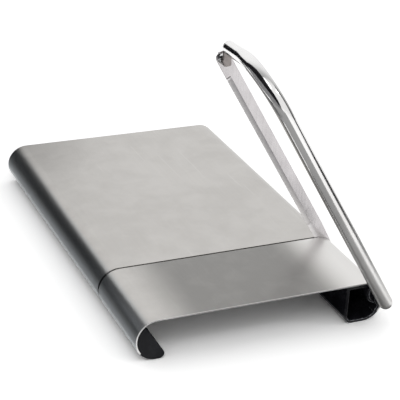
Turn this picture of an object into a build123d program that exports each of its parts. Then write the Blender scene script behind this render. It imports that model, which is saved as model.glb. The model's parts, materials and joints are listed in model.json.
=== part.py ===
from build123d import *
import math
import os

# Cheese slicer: a folded steel board with a harp-shaped arm that swings a blade into a slot.
# Millimetres. X to the right, Y to the rear, Z up. The pieces are built around the middle of
# the board at table height, and go to the middle of the whole footprint when they are written.

# Board
board_width = 184.5
board_length = 295.0
board_height = 30.0
sheet = 1.0
lip_below_middle = 38.0            # degrees that each rolled side goes on below its middle

# Slot for the blade
slot_from_front = 73.1
slot_width = 1.6
slot_floor = 16.2                  # height where the saw cut stops

# Black strips that the board stands on
strip_fit = 0.1                    # play between a strip and the roll around it
strip_flat_width = 2.2             # flat that rests on the table
strip_corner = 3.5
strip_top_angle = 128.0            # degrees, where the strip's sloping side meets the roll
strip_end_bevel = 0.5
strip_behind_stud = 1.5            # room for the nut before the right strip starts

# Pivot housing at the front right
housing_width = 29.7
housing_wall = 2.0
housing_corner = 6.5
housing_back_wall = 4.0
boss_radius = 7.2
boss_reach = 0.6                   # how far the boss stands out of the housing's front

# Axle
pivot_from_side = 6.35             # from the right side of the board to the axle
pivot_z = 20.7
axle_radius = 2.5
axle_running = 0.05
axle_flat_width = 3.8              # across the two flats that drive the blade
axle_end_gap = 0.2                 # left between the axle's end and the inside of the tube
stud_radius = 1.5

# Arm, drawn lying level: it points to the left of the pivot
arm_raise = 59.0                   # degrees above level in the pose that the model shows
leg_in_front = 13.0                # from the board's front edge to the middle of the tube
tube_radius = 5.0
tube_wall = 1.0
leg_length = 173.1
bend_radius = 28.6
bend_turn = 105.7                  # degrees
bend_tilt = 4.65                   # degrees that the bend leans up from level
end_run = 44.8

# Blade
blade_thickness = 0.8
blade_width = 10.2
blade_edge_drop = 4.6              # from the pivot's level down to the cutting edge
tip_past_leg = 8.9                 # from the end of the tube's straight leg to the tip screw
blade_full_from = 22.0             # the back edge has its full height from here on
bevel_width = 3.4
bevel_edge = 0.15                  # thickness left at the cutting edge
bevel_start = 27.0
bevel_before_tip = 16.2            # from the end of the bevel to the tip screw
bevel_step = 0.5                   # small notch where the bevel stops
hub_play = 0.05

# Tip
lug_half_width = 3.3
lug_thickness = 2.4
plug_length = 8.0
plug_rim = 1.2
collar_radius = 4.2
collar_foot = 0.9
tip_screw_radius = 2.0
tip_head_radius = 3.0
tip_head_height = 1.4
tip_nut_flats = 7.0
tip_nut_height = 3.0
tip_end_past_nut = 0.8
driver_slot_width = 0.8
driver_slot_depth = 0.7

# Small parts on the axle
spacer_radius = 5.5
end_play = 0.15
friction_washer_radius = 3.4
friction_washer_thickness = 1.2
hub_washer_radius = 3.3
hub_washer_thickness = 0.6
hub_nut_flats = 5.5
hub_nut_height = 2.4
stud_past_nut = 0.8
edge_break = 0.3
overrun = 5.0

# Places that follow from the sizes above
pivot_x = board_width / 2 - pivot_from_side
blade_tip_reach = leg_length + tip_past_leg
bevel_end = blade_tip_reach - bevel_before_tip
tube_inside = tube_radius - tube_wall
roll_radius = board_height / 2
roll_inner = roll_radius - sheet
roll_x = board_width / 2 - roll_radius
front = -board_length / 2
rear = board_length / 2
slot_y = front + slot_from_front
leg_y = front - leg_in_front
blade_front = slot_y - blade_thickness / 2
blade_back = slot_y + blade_thickness / 2
stud_end = blade_back + hub_washer_thickness + hub_nut_height + stud_past_nut
right_strip_front = stud_end + strip_behind_stud
housing_back = blade_front - friction_washer_thickness - 2 * end_play
blade_mid = blade_width / 2 - blade_edge_drop
front_reach = leg_y - tube_radius
frame_shift = -(front_reach + rear) / 2
under_sheet = board_height - sheet - strip_fit

os.makedirs("parts", exist_ok=True)


def on_circle(center, radius, degrees):
    """The point of a circle at an angle from +X."""
    turn = math.radians(degrees)
    return (center[0] + radius * math.cos(turn), center[1] + radius * math.sin(turn))


def along_y(face, y_from, y_to):
    """A cross-section drawn in X and Z, pulled from one Y to another."""
    return extrude(Plane.XZ.offset(-y_to) * face, amount=y_to - y_from)


def rod_y(x, z, radius, y_from, y_to):
    """A round bar along Y."""
    return along_y(Pos(x, z) * Circle(radius), y_from, y_to)


def in_place(shape):
    """Lifts a piece of the arm from its level drawing onto the pivot."""
    return Location((pivot_x, 0, pivot_z), (0, arm_raise, 0)) * shape


def write(name, shape):
    """Moves a piece to the footprint's frame and writes it under its node's name."""
    solids = (Location((0, frame_shift, 0)) * shape).solids()
    piece = solids[0] if len(solids) == 1 else Compound(children=list(solids))
    piece.label = name
    export_step(piece, "parts/" + name + ".step")


def board_section():
    """The folded sheet seen from the front: a flat top with both sides rolled under."""
    top = 90
    turn = top + lip_below_middle
    left = (-roll_x, roll_radius)
    right = (roll_x, roll_radius)
    outer_left = CenterArc(left, roll_radius, top, turn)
    inner_left = CenterArc(left, roll_inner, top, turn)
    outer_right = CenterArc(right, roll_radius, top, -turn)
    inner_right = CenterArc(right, roll_inner, top, -turn)
    edges = [outer_left, inner_left, outer_right, inner_right]
    edges.append(Line(outer_left @ 0, outer_right @ 0))
    edges.append(Line(inner_left @ 0, inner_right @ 0))
    edges.append(Line(outer_left @ 1, inner_left @ 1))
    edges.append(Line(outer_right @ 1, inner_right @ 1))
    return make_face(edges)


def blade_slot():
    """The saw cut that lets the blade down through the board, from side to side."""
    reach = board_width / 2 + overrun
    height = board_height + overrun
    face = Pos(0, (slot_floor + height) / 2) * Rectangle(2 * reach, height - slot_floor)
    return along_y(face, slot_y - slot_width / 2, slot_y + slot_width / 2)


def make_board():
    return along_y(board_section(), front, rear) - blade_slot()


def roll_edges(center, lip_end, start):
    """The left-hand outline of a filling: inside the roll, past its lip, down to the table."""
    play = math.degrees(strip_fit / roll_radius)
    inside = CenterArc(center, roll_inner - strip_fit, start, lip_end + play - start)
    outside = CenterArc(center, roll_radius, lip_end + play, 270 - lip_end - play)
    step = Line(inside @ 1, outside @ 0)
    return [inside, step, outside]


def strip_section():
    """The left strip: it fills the roll, stands out below its lip and slopes on the inner side."""
    center = (-roll_x, roll_radius)
    edges = roll_edges(center, 180 + lip_below_middle, strip_top_angle)
    flat_end = (-roll_x + strip_flat_width, 0)
    edges.append(Line(edges[-1] @ 1, flat_end))
    corner = (flat_end[0], strip_corner)
    shoulder = on_circle(corner, strip_corner, strip_corner_angle(corner, edges[0] @ 0))
    start = -90
    turn = strip_corner_angle(corner, edges[0] @ 0) - start
    edges.append(CenterArc(corner, strip_corner, start, turn))
    edges.append(Line(shoulder, edges[0] @ 0))
    return make_face(edges)


def strip_corner_angle(corner, top):
    """Where a straight side from the top of the strip touches the rounded corner."""
    dx = top.X - corner[0]
    dz = top.Y - corner[1]
    distance = math.hypot(dx, dz)
    return math.degrees(math.atan2(dz, dx) - math.acos(strip_corner / distance))


def make_strip(y_from, y_to):
    strip = along_y(strip_section(), y_from, y_to)
    ends = strip.faces().sort_by(Axis.Y)
    strip = chamfer(ends[0].outer_wire().edges(), strip_end_bevel)
    return strip - blade_slot()


def housing_outline():
    """The housing from the front: the strip's round side, widened to a box under the board."""
    center = (roll_x, roll_radius)
    play = math.degrees(strip_fit / roll_radius)
    lip_end = -lip_below_middle - play
    inside = CenterArc(center, roll_inner - strip_fit, 90, lip_end - 90)
    outside = CenterArc(center, roll_radius, lip_end, -90 - lip_end)
    left = board_width / 2 - housing_width
    corner = (left + housing_corner, housing_corner)
    rounding = CenterArc(corner, housing_corner, -90, -90)
    edges = [inside, Line(inside @ 1, outside @ 0), outside]
    edges.append(Line(outside @ 1, rounding @ 0))
    edges.append(rounding)
    edges.append(Line(rounding @ 1, (left, under_sheet)))
    edges.append(Line((left, under_sheet), inside @ 0))
    return make_face(edges)


def make_housing():
    """A moulded shell open to the front, with a long bearing boss grown from its outer wall."""
    outline = housing_outline()
    shell = along_y(outline, front, housing_back)
    room = offset(outline, -housing_wall)
    shell -= along_y(room, front - overrun, housing_back - housing_back_wall)
    boss = along_y(outline & Pos(pivot_x, pivot_z) * Circle(boss_radius), front, housing_back)
    collar = rod_y(pivot_x, pivot_z, spacer_radius, front - boss_reach, front)
    bore = rod_y(pivot_x, pivot_z, axle_radius + axle_running, front - overrun, housing_back + overrun)
    return shell + boss + collar - bore


def arm_plane():
    """The plane of the tube: X runs out along the leg, Y turns to the rear."""
    tilt = math.radians(bend_tilt)
    start = (-leg_length, leg_y, 0)
    return Plane(origin=start, x_dir=(-1, 0, 0), z_dir=(0, math.sin(tilt), -math.cos(tilt)))


def tube_path():
    """Straight leg, one wide bend round the board's corner, and a short run to the tip."""
    turn = math.radians(bend_turn)
    leg = Line((-leg_length, 0), (0, 0))
    bend = CenterArc((0, bend_radius), bend_radius, -90, bend_turn)
    corner = bend @ 1
    tip = (corner.X + end_run * math.cos(turn), corner.Y + end_run * math.sin(turn))
    return arm_plane() * Wire([leg, bend, Line(corner, tip)])


def tip_plane():
    """A plane square to the tube at its upper end, looking out of it."""
    path = tube_path()
    return Plane(origin=path @ 1, z_dir=path % 1)


def make_tube():
    """The bent tube with its lower end spun shut to a dome, and a hole there for the axle."""
    path = tube_path()
    foot = Plane(origin=path @ 0, z_dir=path % 0)
    tube = sweep(foot * Circle(tube_radius), path=path) + Pos(0, leg_y, 0) * Sphere(tube_radius)
    bore = sweep(foot * Circle(tube_inside), path=path)
    bore += Pos(0, leg_y, 0) * Sphere(tube_inside)
    return tube - bore - rod_y(0, 0, axle_radius, leg_y, leg_y + tube_radius + overrun)


def double_flat(play):
    """The axle's driving end: a circle with two flats."""
    side = 2 * (axle_radius + play)
    return Circle(axle_radius + play) & Rectangle(side, axle_flat_width + 2 * play)


def make_axle():
    """Axle from inside the tube, through the housing, to flats and a stud for the blade."""
    room = math.sqrt(tube_inside**2 - axle_radius**2) - axle_end_gap
    bar = rod_y(0, 0, axle_radius, leg_y - room, blade_front)
    drive = along_y(double_flat(0), blade_front, blade_back)
    stud = rod_y(0, 0, stud_radius, blade_back, stud_end)
    tail = stud.faces().sort_by(Axis.Y)[-1]
    stud = chamfer(tail.edges(), edge_break)
    return bar + drive + stud


def blade_outline():
    """The blade from the front: a round eye on the axle, a straight edge and a round tip."""
    eye = Circle(blade_edge_drop)
    tip_half = blade_width / 2
    bar_length = blade_tip_reach - blade_full_from
    bar = Pos(-(blade_full_from + bar_length / 2), blade_mid) * Rectangle(bar_length, blade_width)
    tip = Pos(-blade_tip_reach, blade_mid) * Circle(tip_half)
    back = blade_mid + tip_half
    neck = Polygon(
        (0, -blade_edge_drop),
        (0, blade_edge_drop),
        (-blade_full_from, back),
        (-blade_full_from, -blade_edge_drop),
        align=None,
    )
    return eye + neck + bar + tip


def make_blade():
    """The blade, ground to one bevel on its front face, that stops at a small step."""
    outline = blade_outline() - double_flat(hub_play)
    outline -= Pos(-blade_tip_reach, blade_mid) * Circle(tip_screw_radius + hub_play)
    blade = along_y(outline, blade_front, blade_back)
    depth = blade_thickness - bevel_edge
    slope = overrun / bevel_width
    edge = -blade_edge_drop
    wedge = Polygon(
        (blade_front - overrun, edge + bevel_width),
        (blade_front - overrun, edge - overrun),
        (blade_front + depth * (1 + slope), edge - overrun),
        (blade_front, edge + bevel_width),
        align=None,
    )
    ground = extrude(Plane.YZ.offset(-bevel_end) * wedge, amount=bevel_end - bevel_start)
    notch_face = Pos(-bevel_end, edge) * Circle(bevel_step)
    notch = along_y(notch_face, blade_front - overrun, blade_back + overrun)
    return blade - ground - notch


def slotted_bar(start, end, half_width):
    """A flat bar with round ends, from one place to another."""
    middle = ((start[0] + end[0]) / 2, (start[1] + end[1]) / 2)
    length = math.hypot(end[0] - start[0], end[1] - start[1])
    turn = math.degrees(math.atan2(end[1] - start[1], end[0] - start[0]))
    bar = Rectangle(length, 2 * half_width) + Pos(length / 2, 0) * Circle(half_width)
    return Pos(*middle) * Rot(0, 0, turn) * (bar + Pos(-length / 2, 0) * Circle(half_width))


def collar_front():
    return blade_front - collar_radius + collar_foot


def make_lug():
    """A steel plug in the tube's upper end, with a flat tongue down to the blade's tip."""
    plane = tip_plane()
    plug = extrude(plane * Circle(tube_inside), amount=-plug_length)
    rim = extrude(plane * Circle(tube_radius), amount=plug_rim)
    outer = plane.origin
    tongue_back = collar_front()
    tongue_front = tongue_back - lug_thickness
    face = slotted_bar((outer.X, outer.Z), (-blade_tip_reach, blade_mid), lug_half_width)
    tongue = along_y(face, tongue_front, tongue_back)
    hole = rod_y(-blade_tip_reach, blade_mid, tip_screw_radius + hub_play, tongue_front, tongue_back)
    sink_radius = tip_head_radius + hub_play
    sink = rod_y(-blade_tip_reach, blade_mid, sink_radius, tongue_front, tongue_front + tip_head_height)
    return plug + rim + tongue - hole - sink


def make_collar():
    """A domed collar that spaces the blade from the lug, its round side to the front."""
    height = blade_front - collar_front()
    room = extrude(Circle(2 * collar_radius), amount=height - collar_foot)
    foot = extrude(Circle(collar_radius), amount=-collar_foot)
    hole = Cylinder(tip_screw_radius + hub_play, 2 * height)
    shape = (Sphere(collar_radius) & room) + foot - hole
    place = Location((-blade_tip_reach, blade_front - collar_foot, blade_mid), (90, 0, 0))
    return place * shape


def make_tip_screw():
    """A slotted cheese-head screw, sunk in the lug, with its end just past the nut."""
    head_front = collar_front() - lug_thickness
    head_back = head_front + tip_head_height
    end = blade_back + tip_nut_height + tip_end_past_nut
    head = rod_y(-blade_tip_reach, blade_mid, tip_head_radius, head_front, head_back)
    cut = Pos(-blade_tip_reach, blade_mid) * Rectangle(2 * tip_head_radius, driver_slot_width)
    head -= along_y(cut, head_front, head_front + driver_slot_depth)
    return head + rod_y(-blade_tip_reach, blade_mid, tip_screw_radius, head_back, end)


def hex_nut(x, z, flats, bore, y_from, height):
    """A plain nut on a Y axis."""
    face = Pos(x, z) * (RegularPolygon(flats / math.sqrt(3), 6) - Circle(bore))
    nut = along_y(face, y_from, y_from + height)
    outer = nut.faces().sort_by(Axis.Y)[-1]
    return chamfer(outer.outer_wire().edges(), edge_break)


def ring(radius, bore, y_from, y_to):
    return rod_y(0, 0, radius, y_from, y_to) - rod_y(0, 0, bore, y_from, y_to)


def make_spacer():
    """The black bush between the tube and the housing."""
    y_from = leg_y + tube_radius + end_play
    return ring(spacer_radius, axle_radius + axle_running, y_from, front - boss_reach - end_play)


def make_friction_washer():
    """The washer that the blade's eye is drawn against, which keeps the arm where it is put."""
    y_from = blade_front - end_play - friction_washer_thickness
    return ring(friction_washer_radius, axle_radius + axle_running, y_from, blade_front - end_play)


def make_hub_washer():
    return ring(hub_washer_radius, stud_radius + hub_play, blade_back, blade_back + hub_washer_thickness)


def make_hub_nut():
    y_from = blade_back + hub_washer_thickness
    return hex_nut(0, 0, hub_nut_flats, stud_radius, y_from, hub_nut_height)


def make_tip_nut():
    return hex_nut(-blade_tip_reach, blade_mid, tip_nut_flats, tip_screw_radius, blade_back, tip_nut_height)


write("board", make_board())
write("left_foot_strip", make_strip(front, rear))
write("right_foot_strip", mirror(make_strip(right_strip_front, rear), Plane.YZ))
write("pivot_housing", make_housing())
write("pivot_spacer", in_place(make_spacer()))
write("friction_washer", in_place(make_friction_washer()))
write("axle", in_place(make_axle()))
write("hub_washer", in_place(make_hub_washer()))
write("hub_nut", in_place(make_hub_nut()))
write("handle_tube", in_place(make_tube()))
write("blade", in_place(make_blade()))
write("blade_lug", in_place(make_lug()))
write("tip_collar", in_place(make_collar()))
write("tip_screw", in_place(make_tip_screw()))
write("tip_nut", in_place(make_tip_nut()))
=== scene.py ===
import bpy
import json
import math
from mathutils import Matrix, Vector

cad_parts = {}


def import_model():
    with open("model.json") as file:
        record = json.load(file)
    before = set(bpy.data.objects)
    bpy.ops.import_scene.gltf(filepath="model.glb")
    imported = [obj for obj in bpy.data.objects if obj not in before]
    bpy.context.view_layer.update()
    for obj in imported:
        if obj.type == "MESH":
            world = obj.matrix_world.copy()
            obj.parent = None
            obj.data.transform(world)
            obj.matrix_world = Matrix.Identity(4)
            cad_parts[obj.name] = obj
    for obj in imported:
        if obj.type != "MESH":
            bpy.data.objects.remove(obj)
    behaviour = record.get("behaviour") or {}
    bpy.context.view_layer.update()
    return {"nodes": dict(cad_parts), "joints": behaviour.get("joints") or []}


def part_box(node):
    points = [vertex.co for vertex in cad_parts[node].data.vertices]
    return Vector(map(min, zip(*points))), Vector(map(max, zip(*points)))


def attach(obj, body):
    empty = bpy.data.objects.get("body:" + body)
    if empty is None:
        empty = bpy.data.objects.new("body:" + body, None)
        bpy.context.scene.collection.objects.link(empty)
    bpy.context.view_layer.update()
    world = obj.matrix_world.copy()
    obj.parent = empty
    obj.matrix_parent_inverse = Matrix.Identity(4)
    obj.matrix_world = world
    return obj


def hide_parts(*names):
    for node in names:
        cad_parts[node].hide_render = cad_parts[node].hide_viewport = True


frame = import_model()
nodes = frame["nodes"]
pivot = frame["joints"][0]["pos_m"]

# Camera, fitted to the photograph
camera_place = (-0.37478, -0.84202, 0.48329)
camera_right = (0.9175, -0.3945, 0.0497)
camera_up = (0.1297, 0.4152, 0.9005)
camera_back = (-0.3759, -0.8198, 0.4321)
focal_pixels = 1367.5
image_pixels = 400
sensor = 36.0

# Studio: strengths of light and levels of the floor and the sky
world_light = 0.75
white = 1.0
floor_plain = 0.85
floor_seen = 1.45
floor_half = 6.0
dim_sky = 0.45
# Each glow of the sky: its direction, the cosines where it starts and is full, its strength
sky_glows = (
    ((0.15, 0.853, 0.50), 0.25, 0.98, 1.06),
    ((0.32, -0.88, 0.34), 0.45, 0.85, 1.0),
)

# Flags and shades of the floor that only reflections see: colours and places
flag = (0.01, 0.01, 0.012)
skirt = (0.34, 0.34, 0.35)
shaded_floor = (0.46, 0.46, 0.46)
card_height = 0.001
studio_middle = (0.03, -0.13)
bend_middle = (0.0, -0.14)

# The board, in metres. The slot lies in the blade's plane, which holds the pivot point
front_y, rear_y = (corner[1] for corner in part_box("board"))
slot_y = pivot[1]

# Where the looks of the sheet change, each from nothing to full, in metres
left_roll = (-0.072, -0.084)
# Painted reflection: a dark bluish band down the outer side of the left roll
roll_band_span = (-0.0815, -0.0895)
# Painted shade: the middle of the apron, in front of the slot, is darkened between these
painted_shade_from_left = (-0.079, -0.042)
painted_shade_from_right = (0.072, 0.035)
# Painted sheen: the apron's right corner is made lighter from here
painted_sheen_corner = (0.045, 0.075)
front_of_slot = (-0.064, -0.067)
# Painted shade: near black beside the slot on the outer part of the left roll
slot_shade_width = (0.0016, 0.0011)
slot_shade_outward = (-0.083, -0.090)
cut_depth = (0.0004, 0.0001)

# The same along the tube's height and on the housing
satin_down = (0.17, 0.06)
dull_down = (0.09, 0.02)
# On the housing: where the painted highlights on the front rim's edges lie
glints_below = (0.0050, 0.0040)
glints_outward = (0.079, 0.081)
glints_front = (-0.130, -0.134)

# The arm in metres. The bend starts and ends gradually, and is a plain arc in the CAD model
arm_raise = math.radians(59.0)
along_arm = (0, -0.54, 0)
tube_radius = 0.005
leg_y = -0.1515
leg_length = 0.1731
bend_radius = 0.0286
bend_turn = math.radians(105.7)
bend_tilt = math.radians(4.65)
end_run = 0.0448
bend_ease = 0.018
bend_length = bend_radius * bend_turn
tube_length = leg_length + bend_length + end_run
curve_steps = 2000
tube_rings = 250
tube_sides = 96
dome_degrees = range(84, 0, -6)

# The blade, across and along the arm from the pivot, in metres
blade_edge = -0.0046
bevel_top = -0.0012
bevel_end = 0.1677
# Width of the painted shade at the step where the bevel stops
step_shade_width = 0.0009
sharp = 0.0002
flat_angle = math.radians(4)

# The lug's tongue and rim, and the pin through the tongue, in metres
lug_half_width = 0.00275
lug_thickness = 0.0024
lug_corner = 0.0012
lug_edge = 0.0002
lug_lean = 0.054
lug_off_pin = 0.0006
lug_past_pin = 0.0041
lug_before_pin = 0.0068
corner_steps = 6
rim_thickness = 0.0012
rim_edge = 0.0004
rim_sides = 64
pin_proud = 0.0001
pin_head = 0.0014
pin_shank = 0.002
pin_rounding = 0.0002
pin_sides = 48

# A colour mix's own sockets for its two colours
mix_first, mix_second = 6, 7


def add_camera():
    data = bpy.data.cameras.new("photo_camera")
    data.sensor_width = sensor
    data.lens = sensor * focal_pixels / image_pixels
    camera = bpy.data.objects.new("photo_camera", data)
    columns = [Vector(camera_right), Vector(camera_up), Vector(camera_back)]
    turn = Matrix([[c[i] for c in columns] for i in range(3)])
    camera.matrix_world = Matrix.Translation(camera_place) @ turn.to_4x4()
    bpy.context.scene.collection.objects.link(camera)
    bpy.context.scene.camera = camera


class Nodes:
    """A material's node tree with short calls for the nodes used here."""

    def __init__(self, name):
        self.material = bpy.data.materials.new(name)
        self.material.use_nodes = True
        self.tree = self.material.node_tree
        self.shader = self.tree.nodes["Principled BSDF"]
        self.coordinates = self.add("ShaderNodeTexCoord")

    def add(self, kind, **values):
        node = self.tree.nodes.new(kind)
        for key, value in values.items():
            setattr(node, key, value)
        return node

    def link(self, source, target):
        self.tree.links.new(source, target)

    def put(self, value, socket):
        """Give a socket a number, a colour or a link."""
        if isinstance(value, (int, float)):
            socket.default_value = value
        elif isinstance(value, tuple):
            socket.default_value = value + (1.0,)
        else:
            self.link(value, socket)

    def axis(self, which):
        node = self.add("ShaderNodeSeparateXYZ")
        self.link(self.coordinates.outputs["Object"], node.inputs["Vector"])
        return node.outputs[which]

    def place(self, scale, turn=(0, 0, 0)):
        mapping = self.add("ShaderNodeMapping")
        mapping.inputs["Scale"].default_value = scale
        mapping.inputs["Rotation"].default_value = turn
        self.link(self.coordinates.outputs["Object"], mapping.inputs["Vector"])
        return mapping.outputs["Vector"]

    def noise(self, scale, detail=2.0, roughness=0.5, vector=None, distortion=0.0):
        node = self.add("ShaderNodeTexNoise")
        node.inputs["Scale"].default_value = scale
        node.inputs["Detail"].default_value = detail
        node.inputs["Roughness"].default_value = roughness
        node.inputs["Distortion"].default_value = distortion
        source = self.coordinates.outputs["Object"] if vector is None else vector
        self.link(source, node.inputs["Vector"])
        return node.outputs["Fac"]

    def ramp(self, value, low, high, to_low=0.0, to_high=1.0, smooth=True):
        node = self.add("ShaderNodeMapRange")
        node.interpolation_type = "SMOOTHSTEP" if smooth else "LINEAR"
        node.inputs["From Min"].default_value = low
        node.inputs["From Max"].default_value = high
        node.inputs["To Min"].default_value = to_low
        node.inputs["To Max"].default_value = to_high
        self.link(value, node.inputs["Value"])
        return node.outputs["Result"]

    def math(self, operation, a, b):
        node = self.add("ShaderNodeMath", operation=operation)
        self.put(a, node.inputs[0])
        self.put(b, node.inputs[1])
        return node.outputs["Value"]

    def times(self, first, *others):
        for value in others:
            first = self.math("MULTIPLY", first, value)
        return first

    def mix(self, factor, a, b):
        node = self.add("ShaderNodeMix", data_type="RGBA")
        self.put(factor, node.inputs["Factor"])
        self.put(a, node.inputs[mix_first])
        self.put(b, node.inputs[mix_second])
        return node.outputs["Result"]

    def clouded(self, cloud, dark, light):
        """Two close colours, mixed by a soft noise."""
        return self.mix(self.ramp(cloud, 0.35, 0.65), dark, light)

    def from_pivot(self, by_x, by_z):
        """Distance from the pivot in the direction that has these shares of X and Z."""
        across = self.times(self.math("SUBTRACT", self.axis("X"), pivot[0]), by_x)
        upward = self.times(self.math("SUBTRACT", self.axis("Z"), pivot[2]), by_z)
        return self.math("ADD", across, upward)

    def arm_height(self):
        """Height above the line from the pivot along the arm, as if the arm lay level."""
        return self.from_pivot(math.sin(arm_raise), math.cos(arm_raise))

    def arm_reach(self):
        """Distance from the pivot along the arm."""
        return self.from_pivot(-math.cos(arm_raise), math.sin(arm_raise))

    def bump(self, height, strength, distance, before=None):
        node = self.add("ShaderNodeBump")
        node.inputs["Strength"].default_value = strength
        node.inputs["Distance"].default_value = distance
        self.link(height, node.inputs["Height"])
        if before is not None:
            self.link(before, node.inputs["Normal"])
        return node.outputs["Normal"]

    def rounded(self, radius):
        node = self.add("ShaderNodeBevel")
        node.samples = 6
        node.inputs["Radius"].default_value = radius
        return node.outputs["Normal"]

    def edges(self, radius):
        """1 near the edges of the piece, 0 on its faces."""
        normal = self.add("ShaderNodeNewGeometry").outputs["True Normal"]
        compare = self.add("ShaderNodeVectorMath", operation="DOT_PRODUCT")
        self.link(self.rounded(radius), compare.inputs[0])
        self.link(normal, compare.inputs[1])
        return self.ramp(compare.outputs["Value"], 0.995, 0.93)

    def finish(self, color, roughness, normal, metallic=1.0):
        self.put(color, self.shader.inputs["Base Color"])
        self.put(roughness, self.shader.inputs["Roughness"])
        self.shader.inputs["Metallic"].default_value = metallic
        self.link(normal, self.shader.inputs["Normal"])
        return self.material


def sheet_steel():
    """Brushed sheet: fine grain along the board, faint clouds and handling scratches, painted
    shade in front of the slot, a calmer left roll with a painted dark bluish reflection band and
    painted shade beside the slot, a painted sheen at the apron's right corner, and bare cut edges."""
    n = Nodes("brushed_sheet")
    x, y = n.axis("X"), n.axis("Y")
    grain = n.noise(1.0, 3.0, 0.6, n.place((2600, 18, 2600)))
    streaks = n.noise(1.0, 2.0, 0.5, n.place((500, 5, 500)))
    clouds = n.noise(16.0, 4.0, 0.55, None, 0.6)
    blotches = n.noise(55.0, 3.0, 0.6, None, 0.3)
    scratches = n.noise(1.0, 1.0, 0.4, n.place((260, 9, 260), (0, 0, 0.35)))

    # Where things are: 1 inside, 0 outside
    roll = n.ramp(x, *left_roll)
    calm = n.math("SUBTRACT", 1.0, roll)
    roll_band = n.ramp(x, *roll_band_span)
    apron = n.ramp(y, *front_of_slot)
    middle = n.times(n.ramp(x, *painted_shade_from_left), n.ramp(x, *painted_shade_from_right))
    corner = n.times(n.ramp(x, *painted_sheen_corner), apron)
    off_slot = n.math("ABSOLUTE", n.math("SUBTRACT", y, slot_y), 0.0)
    slot_shade = n.times(n.ramp(off_slot, *slot_shade_width), n.ramp(x, *slot_shade_outward))
    front_cut = n.ramp(y, *(front_y + depth for depth in cut_depth))
    rear_cut = n.ramp(y, *(rear_y - depth for depth in cut_depth))

    shade = n.math("ADD", n.times(clouds, 0.6), n.times(blotches, 0.4))
    shade = n.ramp(shade, 0.36, 0.64)
    light = n.mix(shade, (0.495, 0.48, 0.46), (0.565, 0.55, 0.53))
    streak = n.times(n.ramp(streaks, 0.35, 0.65), calm, 0.25)
    light = n.mix(streak, light, (0.53, 0.515, 0.50))
    scratch = n.times(n.ramp(scratches, 0.70, 0.73), calm, 0.2)
    light = n.mix(scratch, light, (0.70, 0.69, 0.67))
    # Painted shade: a darker, blotchy patch in the middle of the apron, in front of the slot
    painted_light_mask = n.times(middle, apron, n.ramp(blotches, 0.2, 0.6, 0.88, 1.0), 0.85)
    light = n.mix(painted_light_mask, light, (0.20, 0.197, 0.19))
    # Painted sheen: a lighter colour on the apron's right corner
    light = n.mix(n.times(corner, 0.85), light, (0.78, 0.77, 0.755))
    # Painted reflection: a dark bluish band down the left roll's outer side
    light = n.mix(n.times(roll_band, 0.9), light, (0.44, 0.47, 0.487))
    # Painted shade: near black beside the slot on the left roll
    light = n.mix(n.times(slot_shade, 0.8), light, (0.05, 0.052, 0.055))
    light = n.mix(n.math("MAXIMUM", front_cut, rear_cut), light, (0.74, 0.735, 0.73))

    rough = n.math("ADD", n.ramp(grain, 0.3, 0.7, 0.30, 0.37), n.ramp(clouds, 0.3, 0.7, 0.0, 0.05))
    rough = n.math("ADD", n.times(rough, calm), n.times(roll, 0.31))
    normal = n.bump(n.times(grain, calm), 0.15, 0.00003, n.rounded(0.0003))
    return n.finish(light, rough, normal)


def polished_tube():
    """Tube polished at the bend, satin along the leg and dullest near the pivot."""
    n = Nodes("polished_tube")
    height = n.axis("Z")
    satin = n.ramp(height, *satin_down)
    rings = n.noise(1.0, 2.0, 0.5, n.place((900, 900, 90), along_arm))
    cloud = n.noise(35.0, 2.0, 0.5)
    polished = n.clouded(cloud, (0.78, 0.775, 0.77), (0.83, 0.825, 0.82))
    dulled = n.clouded(cloud, (0.68, 0.67, 0.66), (0.76, 0.75, 0.74))
    color = n.mix(satin, polished, dulled)
    dull = n.math("ADD", n.ramp(rings, 0.3, 0.7, 0.15, 0.18), n.ramp(height, *dull_down, 0.0, 0.12))
    rough = n.math("ADD", 0.11, n.times(satin, dull))
    return n.finish(color, rough, n.bump(rings, 0.05, 0.00003))


def blade_steel():
    """Polished flats and a concave-ground bevel, with a painted reflection running from light at
    the edge to darker at the bevel's top, and painted shade as a dark step where the bevel stops.
    """
    n = Nodes("blade_steel")
    grain = n.noise(1.0, 2.0, 0.5, n.place((1500, 300, 60), along_arm))
    color = n.clouded(n.noise(45.0, 3.0, 0.55), (0.50, 0.48, 0.485), (0.57, 0.55, 0.555))
    up, reach = n.arm_height(), n.arm_reach()
    below_top = n.ramp(up, bevel_top, bevel_top - sharp)
    ground = n.times(below_top, n.ramp(reach, bevel_end, bevel_end - sharp))
    # Painted reflection: the bevel runs from near white at the edge to darker at its top
    slope = n.ramp(up, blade_edge, bevel_top, smooth=False)
    bevel_sheen = n.mix(slope, (0.96, 0.94, 0.94), (0.56, 0.54, 0.55))
    color = n.mix(ground, color, bevel_sheen)
    # Painted shade: a dark line at the step where the bevel stops
    step_shade_start = n.ramp(reach, bevel_end - step_shade_width, bevel_end - step_shade_width + sharp)
    step = n.times(step_shade_start, n.ramp(reach, bevel_end + sharp, bevel_end), below_top, 0.85)
    color = n.mix(step, color, (0.13, 0.12, 0.12))
    rough = n.math("ADD", n.ramp(grain, 0.3, 0.7, 0.14, 0.24), n.times(ground, 0.22))
    return n.finish(color, rough, n.bump(grain, 0.12, 0.00003, n.rounded(0.0002)))


def small_steel(name, dark, light, rough_low, rough_high):
    """Steel of the small pieces, faintly pitted."""
    n = Nodes(name)
    pits = n.noise(400.0, 3.0, 0.6)
    color = n.clouded(n.noise(50.0, 2.0, 0.5), dark, light)
    rough = n.ramp(pits, 0.3, 0.7, rough_low, rough_high)
    return n.finish(color, rough, n.bump(pits, 0.1, 0.00004))


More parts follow.
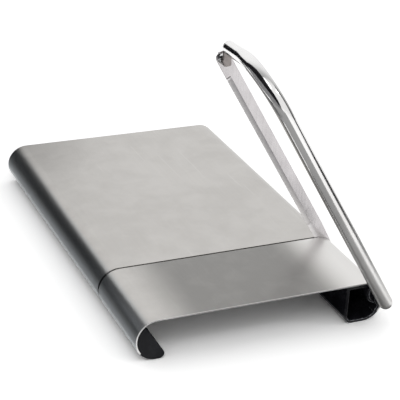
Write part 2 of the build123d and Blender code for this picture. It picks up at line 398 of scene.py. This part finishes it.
def black_plastic(name, rough_low, rough_high, grain_strength, level, rim_glints=0.0):
    """Moulded black plastic with a fine grain and, where asked, painted highlights as light dotted
    lines on the edges at the lower front.
    """
    n = Nodes(name)
    grain = n.noise(2600.0, 2.0, 0.6)
    cloud = n.noise(90.0, 3.0, 0.6)
    color = n.mix(n.ramp(cloud, 0.4, 0.7), (0.006, 0.006, 0.008), (0.014, 0.014, 0.017))
    rough = n.ramp(cloud, 0.3, 0.7, rough_low, rough_high)
    n.shader.inputs["Specular IOR Level"].default_value = level
    if rim_glints:
        # Painted highlight: light dotted lines on the front rim's lower and outer edges
        lower = n.ramp(n.axis("Z"), *glints_below)
        outer = n.ramp(n.axis("X"), *glints_outward)
        front = n.ramp(n.axis("Y"), *glints_front)
        glint_dots = n.ramp(n.noise(1500.0, 2.0, 0.6), 0.40, 0.64)
        painted_light_mask = n.times(n.math("MAXIMUM", lower, outer), front, n.edges(0.0009), glint_dots, rim_glints)
        color = n.mix(painted_light_mask, color, (0.40, 0.41, 0.44))
    normal = n.bump(grain, grain_strength, 0.00005, n.rounded(0.0006))
    return n.finish(color, rough, normal, 0.0)


def nylon():
    n = Nodes("washer_nylon")
    cloud = n.noise(500.0, 3.0, 0.6)
    color = n.mix(cloud, (0.55, 0.53, 0.47), (0.66, 0.64, 0.58))
    return n.finish(color, n.ramp(cloud, 0.3, 0.7, 0.4, 0.55), n.bump(cloud, 0.1, 0.00003), 0.0)


def from_level(point):
    """A point of the arm drawn lying level, with Y as it is in the row frame, put in place."""
    x, y, z = point
    c, s = math.cos(arm_raise), math.sin(arm_raise)
    return Vector((pivot[0] + x * c + z * s, y, pivot[2] - x * s + z * c))


def bend_line():
    """Places along and across from the pivot in the bend's plane, and the angle turned, step
    by step. The curve tightens and opens gradually, as on a bent tube."""
    step = tube_length / curve_steps
    along, across, turned = 0.0, 0.0, 0.0
    line = [(along, across, turned)]
    for i in range(curve_steps):
        place = (i + 0.5) * step - leg_length
        inside = min(place + bend_ease / 2, bend_length + bend_ease / 2 - place) / bend_ease
        turned += step / bend_radius * min(max(inside, 0.0), 1.0)
        along += step * math.cos(turned)
        across += step * math.sin(turned)
        line.append((along, across, turned))
    return line, step


tube_line, tube_step = bend_line()


def tube_at(distance):
    """The middle of the tube and its direction, that far along from the pivot."""
    along, across, turned = tube_line[min(round(distance / tube_step), len(tube_line) - 1)]
    lift = across * math.sin(bend_tilt)
    place = from_level((-along, leg_y + across * math.cos(bend_tilt), lift))
    sideways = math.sin(turned)
    ahead = (-math.cos(turned), sideways * math.cos(bend_tilt), sideways * math.sin(bend_tilt))
    return place, (from_level(ahead) - from_level((0, 0, 0))).normalized()


def circle(center, square, side, radius, count):
    """Points round a circle that lies along two directions, square to each other."""
    turns = [2 * math.pi * i / count for i in range(count)]
    return [center + (square * math.cos(t) + side * math.sin(t)) * radius for t in turns]


def skin(name, rings):
    """A mesh through rings of points, with a flat cap at each end."""
    sides = len(rings[0])
    verts = [tuple(point) for ring in rings for point in ring]
    faces = []
    for start in range(0, len(verts) - sides, sides):
        for i in range(sides):
            j = (i + 1) % sides
            faces.append((start + i, start + j, start + sides + j, start + sides + i))
    faces.append(tuple(range(sides))[::-1])
    faces.append(tuple(range(len(verts) - sides, len(verts))))
    mesh = bpy.data.meshes.new(name)
    mesh.from_pydata(verts, [], faces)
    return mesh


def add_piece(name, mesh, material, node, body):
    mesh.materials.append(material)
    piece = bpy.data.objects.new(name, mesh)
    bpy.context.scene.collection.objects.link(piece)
    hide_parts(node)
    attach(piece, body)


def lug_tongue(material):
    """The lug's flat tongue from the tube's end past the tip pin, with rounded corners."""
    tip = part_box("tip_screw")
    pin = Vector(((tip[0][0] + tip[1][0]) / 2, 0, (tip[0][2] + tip[1][2]) / 2))
    down = Vector((lug_lean, 0, -1)).normalized()
    right = Vector((-down[2], 0, down[0]))
    line = pin + right * lug_off_pin
    upper, lower = line - down * lug_before_pin, line + down * lug_past_pin
    outline = []
    for end, sign in ((lower, 1), (upper, -1)):
        for side in (sign, -sign):
            center = end - down * sign * lug_corner + right * side * (lug_half_width - lug_corner)
            turns = [math.pi / 2 * step / corner_steps for step in range(corner_steps + 1)]
            if side != sign:
                turns = [math.pi / 2 - turn for turn in turns]
            for turn in turns:
                sideways = right * side * math.cos(turn) * lug_corner
                outward = down * sign * math.sin(turn) * lug_corner
                outline.append(center + sideways + outward)
    front, back = tip[0][1] + pin_proud, tip[0][1] + lug_thickness
    layers = [(front, lug_edge), (front + lug_edge, 0.0), (back - lug_edge, 0.0), (back, lug_edge)]
    middle = (lower + upper) / 2
    rings = []
    for y, inset in layers:
        shift = Vector((0, y, 0))
        rings.append([point - (point - middle).normalized() * inset + shift for point in outline])
    add_piece("lug_tongue", skin("lug_tongue", rings), material, "blade_lug", "arm")


def flush_pin(material):
    """The tip screw with a plain head, because the photo shows no driver slot on it."""
    low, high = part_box("tip_screw")
    radius = (high[0] - low[0]) / 2
    middle = Vector(((low[0] + high[0]) / 2, 0, (low[2] + high[2]) / 2))
    profile = [
        (radius - pin_rounding, low[1]),
        (radius, low[1] + pin_rounding),
        (radius, low[1] + pin_head),
        (pin_shank, low[1] + pin_head),
        (pin_shank, high[1] - pin_rounding),
        (pin_shank - pin_rounding, high[1]),
    ]
    square, side = Vector((1, 0, 0)), Vector((0, 0, 1))
    rings = [circle(middle + Vector((0, y, 0)), square, side, r, pin_sides) for r, y in profile]
    add_piece("tip_pin", skin("tip_pin", rings), material, "tip_screw", "arm")


def smooth_tube(material):
    """The bent tube with round sides and a dome at its lower end."""
    dome = [math.radians(angle) for angle in dome_degrees]
    stations = [(0.0, math.cos(angle), math.sin(angle)) for angle in dome]
    stations += [(tube_length * i / tube_rings, 1.0, 0.0) for i in range(tube_rings + 1)]
    square = (from_level((0, 0, 1)) - from_level((0, 0, 0))).normalized()
    rings = []
    for distance, size, before in stations:
        place, ahead = tube_at(distance)
        square = (square - ahead * square.dot(ahead)).normalized()
        center = place - ahead * before * tube_radius
        rings.append(circle(center, square, ahead.cross(square), size * tube_radius, tube_sides))
    mesh = skin("tube_body", rings)
    for polygon in mesh.polygons[:-1]:
        polygon.use_smooth = True
    add_piece("tube_body", mesh, material, "handle_tube", "arm")


def lug_rim(material):
    """The rim of the lug's plug, closing the tube's upper end."""
    end, ahead = tube_at(tube_length)
    square = Vector((0, 0, 1)).cross(ahead).normalized()
    side = ahead.cross(square)
    profile = [
        (0.0, tube_radius),
        (rim_thickness - rim_edge, tube_radius),
        (rim_thickness, tube_radius - rim_edge),
    ]
    rings = [circle(end + ahead * out, square, side, r, rim_sides) for out, r in profile]
    add_piece("lug_rim", skin("lug_rim", rings), material, "blade_lug", "arm")


def dress(name, material):
    data = nodes[name].data
    data.materials.clear()
    data.materials.append(material)


def flat_faces(name):
    """Shade the flats and the ground bevel each as a plane."""
    split = nodes[name].modifiers.new("split", "EDGE_SPLIT")
    split.split_angle = flat_angle
    normals = nodes[name].modifiers.new("normals", "WEIGHTED_NORMAL")
    normals.keep_sharp = True


def card(name, corners, color):
    """A reflector or a flag of the studio, seen only in reflections. The corners are one long
    side from end to end, then the other."""
    mesh = bpy.data.meshes.new(name)
    count = len(corners) // 2
    faces = [(i, i + 1, count + i + 1, count + i) for i in range(count - 1)]
    mesh.from_pydata(corners, [], faces)
    card_object = bpy.data.objects.new(name, mesh)
    bpy.context.scene.collection.objects.link(card_object)
    material = bpy.data.materials.new(name)
    material.use_nodes = True
    shader = material.node_tree.nodes["Principled BSDF"]
    shader.inputs["Base Color"].default_value = color + (1.0,)
    shader.inputs["Roughness"].default_value = 1.0
    shader.inputs["Specular IOR Level"].default_value = 0.0
    mesh.materials.append(material)
    card_object.visible_camera = False
    card_object.visible_shadow = False
    card_object.visible_diffuse = False


def wall(name, middle, distance, edges, color=flag):
    """A flag standing round a place. Each edge gives its azimuth, bottom and top."""
    places = []
    for azimuth, bottom, top in edges:
        turn = math.radians(azimuth)
        x, y = middle[0] + distance * math.sin(turn), middle[1] + distance * math.cos(turn)
        places.append((x, y, bottom, top))
    lower = [(x, y, bottom) for x, y, bottom, top in places]
    upper = [(x, y, top) for x, y, bottom, top in places]
    card(name, lower + upper, color)


def level_card(name, span_x, span_y, color):
    """A card lying just over the floor."""
    card(name, [(x, y, card_height) for x in span_x for y in span_y], color)


def seen_directly(tree):
    """1 for rays from the camera and for reflections, 0 for the rest."""
    path = tree.nodes.new("ShaderNodeLightPath")
    either = tree.nodes.new("ShaderNodeMath")
    either.operation = "MAXIMUM"
    tree.links.new(path.outputs["Is Camera Ray"], either.inputs[0])
    tree.links.new(path.outputs["Is Glossy Ray"], either.inputs[1])
    clear = tree.nodes.new("ShaderNodeMath")
    clear.operation = "MAXIMUM"
    tree.links.new(either.outputs["Value"], clear.inputs[0])
    tree.links.new(path.outputs["Is Transmission Ray"], clear.inputs[1])
    return clear.outputs["Value"]


def floor():
    mesh = bpy.data.meshes.new("floor")
    corners = [(-1, -1), (1, -1), (1, 1), (-1, 1)]
    mesh.from_pydata([(x * floor_half, y * floor_half, 0) for x, y in corners], [], [(0, 1, 2, 3)])
    floor_object = bpy.data.objects.new("floor", mesh)
    bpy.context.scene.collection.objects.link(floor_object)
    material = bpy.data.materials.new("pale_floor")
    material.use_nodes = True
    tree = material.node_tree
    tree.nodes.remove(tree.nodes["Principled BSDF"])
    shader = tree.nodes.new("ShaderNodeBsdfDiffuse")
    level = tree.nodes.new("ShaderNodeMapRange")
    level.inputs["To Min"].default_value = floor_plain
    level.inputs["To Max"].default_value = floor_seen
    tree.links.new(seen_directly(tree), level.inputs["Value"])
    tree.links.new(level.outputs["Result"], shader.inputs["Color"])
    tree.links.new(shader.outputs["BSDF"], tree.nodes["Material Output"].inputs["Surface"])
    mesh.materials.append(material)


def sky_glow(tree, direction, aim, start, full, level):
    """The strength of the sky in a direction, rising to a level towards the glow's aim."""
    toward = tree.nodes.new("ShaderNodeVectorMath")
    toward.operation = "DOT_PRODUCT"
    toward.inputs[1].default_value = aim
    tree.links.new(direction, toward.inputs[0])
    ramp = tree.nodes.new("ShaderNodeMapRange")
    ramp.interpolation_type = "SMOOTHSTEP"
    ramp.inputs["From Min"].default_value = start
    ramp.inputs["From Max"].default_value = full
    ramp.inputs["To Min"].default_value = dim_sky
    ramp.inputs["To Max"].default_value = level
    tree.links.new(toward.outputs["Value"], ramp.inputs["Value"])
    return ramp.outputs["Result"]


def world():
    """Even light and a white background. Reflections see a sky that glows behind and in front
    right."""
    scene_world = bpy.data.worlds.new("studio")
    scene_world.use_nodes = True
    tree = scene_world.node_tree
    background = tree.nodes["Background"]
    background.inputs["Color"].default_value = (1.0, 1.0, 1.0, 1.0)
    direction = tree.nodes.new("ShaderNodeTexCoord").outputs["Generated"]
    sky = tree.nodes.new("ShaderNodeMath")
    sky.operation = "MAXIMUM"
    for glow, socket in zip(sky_glows, sky.inputs):
        tree.links.new(sky_glow(tree, direction, *glow), socket)
    path = tree.nodes.new("ShaderNodeLightPath")
    plain = tree.nodes.new("ShaderNodeMapRange")
    plain.inputs["To Min"].default_value = world_light
    plain.inputs["To Max"].default_value = white
    tree.links.new(path.outputs["Is Camera Ray"], plain.inputs["Value"])
    level = tree.nodes.new("ShaderNodeMix")
    tree.links.new(path.outputs["Is Glossy Ray"], level.inputs["Factor"])
    tree.links.new(plain.outputs["Result"], level.inputs["A"])
    tree.links.new(sky.outputs["Value"], level.inputs["B"])
    tree.links.new(level.outputs["Result"], background.inputs["Strength"])
    bpy.context.scene.world = scene_world


def lamp(name, place, target, size, power):
    data = bpy.data.lights.new(name, "AREA")
    data.shape = "DISK"
    data.size = size
    data.energy = power
    light = bpy.data.objects.new(name, data)
    light.location = place
    aim = Vector(target) - Vector(place)
    light.rotation_euler = aim.to_track_quat("-Z", "Y").to_euler()
    bpy.context.scene.collection.objects.link(light)


add_camera()
world()
floor()
lamp("right_box", (0.60, -0.63, 0.80), (0.08, -0.14, 0.02), 0.10, 0.5)
lamp("front_box", (-0.5, -0.9, 1.3), (0.0, 0.0, 0.05), 0.8, 2.0)

# Flags that make the dark bands on the left roll and on the tube's bend
wall("rear_flag", studio_middle, 0.62, [
    (4, 0.03, 0.18), (-8, 0.03, 0.20), (-16, 0.02, 0.22), (-26, 0.02, 0.27), (-36, 0.02, 0.34),
    (-52, 0.02, 0.42)])
wall("bend_flag", bend_middle, 0.30, [
    (-42, 0.17, 0.30), (-48, 0.19, 0.37), (-60, 0.215, 0.50), (-72, 0.23, 0.62),
    (-90, 0.225, 0.67), (-108, 0.215, 0.67), (-120, 0.20, 0.67), (-132, 0.185, 0.55),
    (-144, 0.165, 0.47), (-156, 0.135, 0.365), (-170, 0.13, 0.26)])
wall("bend_skirt", bend_middle, 0.30, [
    (-44, 0.08, 0.17), (-48, 0.04, 0.19), (-60, 0.02, 0.215), (-72, 0.02, 0.23),
    (-90, 0.02, 0.225), (-108, 0.03, 0.215), (-120, 0.05, 0.20), (-132, 0.05, 0.185),
    (-144, 0.06, 0.165), (-156, 0.08, 0.135), (-170, 0.10, 0.13)], skirt)
wall("right_flag", studio_middle, 0.45, [
    (90, 0.0, 0.09), (95, 0.0, 0.10), (98, 0.0, 0.62), (111, 0.0, 0.62), (114, 0.0, 0.10),
    (122, 0.0, 0.09)])
card("low_flag", [
    (-0.21, -0.16, 0.0), (-0.21, 0.46, 0.0), (-0.21, -0.16, 0.034), (-0.21, 0.46, 0.034)], flag)

# Shades of the floor as reflections see it
level_card("left_floor_flag", (-0.118, -0.21), (-0.30, 0.44), (0.20, 0.20, 0.20))
level_card("left_near_flag", (-0.097, -0.118), (-0.30, 0.40), (0.50, 0.50, 0.51))
level_card("left_far_flag", (-0.42, -1.50), (-0.172, 0.18), shaded_floor)
level_card("under_flag", (-0.066, 0.060), (-0.13, 0.15), flag)
level_card("front_floor_flag", (-1.50, 0.12), (-0.172, -0.90), shaded_floor)
level_card("front_edge_flag", (-0.04, 0.12), (-0.145, -0.172), (0.18, 0.18, 0.18))
card("right_floor_flag", [
    (0.27, -0.17, card_height), (0.50, -0.36, card_height), (0.95, -0.50, card_height),
    (0.27, 0.05, card_height), (0.50, 0.05, card_height), (0.95, 0.05, card_height)],
    (0.48, 0.48, 0.48))

dress("board", sheet_steel())
dress("blade", blade_steel())
flat_faces("blade")
lug = small_steel("lug_steel", (0.27, 0.245, 0.235), (0.34, 0.31, 0.30), 0.35, 0.5)
lug_tongue(lug)
flush_pin(lug)
tube_finish = polished_tube()
smooth_tube(tube_finish)
lug_rim(tube_finish)
chrome = small_steel("chrome_small", (0.76, 0.76, 0.76), (0.84, 0.84, 0.84), 0.10, 0.18)
dress("tip_collar", chrome)
screw = small_steel("screw_steel", (0.50, 0.50, 0.50), (0.62, 0.62, 0.62), 0.18, 0.32)
for name in ("tip_nut", "hub_washer", "hub_nut"):
    dress(name, screw)
dress("axle", small_steel("axle_steel", (0.45, 0.45, 0.46), (0.55, 0.55, 0.56), 0.15, 0.28))
dress("friction_washer", nylon())
foot = black_plastic("black_foot", 0.32, 0.46, 0.45, 0.16)
dress("left_foot_strip", foot)
dress("right_foot_strip", foot)
# The last number is the strength of the housing's painted rim highlights
housing = black_plastic("black_housing", 0.10, 0.20, 0.10, 0.30, 0.9)
dress("pivot_housing", housing)
dress("pivot_spacer", housing)

bpy.context.scene.view_settings.view_transform = "Standard"
